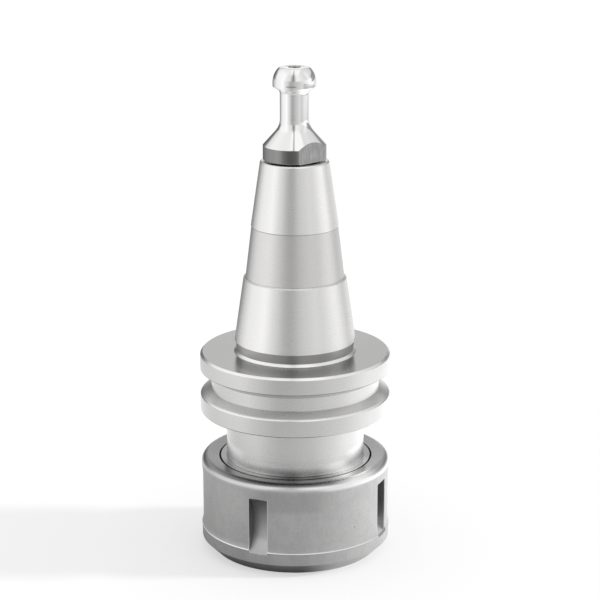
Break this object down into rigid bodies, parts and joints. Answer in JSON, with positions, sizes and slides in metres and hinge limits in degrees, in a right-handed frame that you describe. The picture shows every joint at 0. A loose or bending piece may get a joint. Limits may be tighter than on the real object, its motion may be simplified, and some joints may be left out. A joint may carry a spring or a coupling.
{
  "type": "collet chuck",
  "caption": "Steep-taper collet chuck with pull stud, gripper-groove flange, slotted spring collet and ball-bearing clamping nut with spanner slots.",
  "frame": {"origin": "centre of the clamping nut's front face, which the chuck stands on", "axes": "+Z along the spindle axis, from the nut towards the pull stud; -Y towards the camera of the picture"},
  "size_m": [0.0504, 0.0504, 0.1293],
  "materials": {
    "ground_steel": "fine ground satin, circumferential",
    "polished_steel": "polished turned steel",
    "blasted_steel": "darker matt satin, slightly mottled",
    "hardened_steel": "hardened and ground",
    "spring_steel": "ground spring steel",
    "bearing_steel": "polished bearing steel"
  },
  "bodies": {
    "holder": {"holder_body": "ground_steel", "pull_stud": "polished_steel"},
    "collet_group": {"collet": "spring_steel", "pressure_ring": "hardened_steel"},
    "nut": {"nut_shell": "blasted_steel", "ball_plug": "bearing_steel"},
    "ball_row": {"ball_01": "bearing_steel", "ball_02": "bearing_steel", "ball_03": "bearing_steel", "ball_04": "bearing_steel", "ball_05": "bearing_steel", "ball_06": "bearing_steel", "ball_07": "bearing_steel", "ball_08": "bearing_steel", "ball_09": "bearing_steel", "ball_10": "bearing_steel", "ball_11": "bearing_steel", "ball_12": "bearing_steel", "ball_13": "bearing_steel", "ball_14": "bearing_steel", "ball_15": "bearing_steel", "ball_16": "bearing_steel", "ball_17": "bearing_steel", "ball_18": "bearing_steel", "ball_19": "bearing_steel", "ball_20": "bearing_steel", "ball_21": "bearing_steel", "ball_22": "bearing_steel", "ball_23": "bearing_steel", "ball_24": "bearing_steel", "ball_25": "bearing_steel", "ball_26": "bearing_steel", "ball_27": "bearing_steel", "ball_28": "bearing_steel", "ball_29": "bearing_steel", "ball_30": "bearing_steel", "ball_31": "bearing_steel", "ball_32": "bearing_steel", "ball_33": "bearing_steel", "ball_34": "bearing_steel", "ball_35": "bearing_steel"}
  },
  "joints": [
    {"name": "collet_travel", "type": "slide", "parent": "holder", "child": "collet_group", "axis": [0, 0, -1], "range_m": [0, 0.006]},
    {"name": "nut_turn", "type": "hinge", "parent": "collet_group", "child": "nut", "pos_m": [0, 0, 0.013], "axis": [0, 0, -1], "range_deg": [0, 1440]},
    {"name": "ball_orbit", "type": "hinge", "parent": "collet_group", "child": "ball_row", "pos_m": [0, 0, 0.0042], "axis": [0, 0, -1], "range_deg": [0, 720]}
  ],
  "couplings": [
    {"joint": "collet_travel", "follows": "nut_turn", "m_per_rad": 0.00023873},
    {"joint": "ball_orbit", "follows": "nut_turn", "ratio": 0.5}
  ]
}
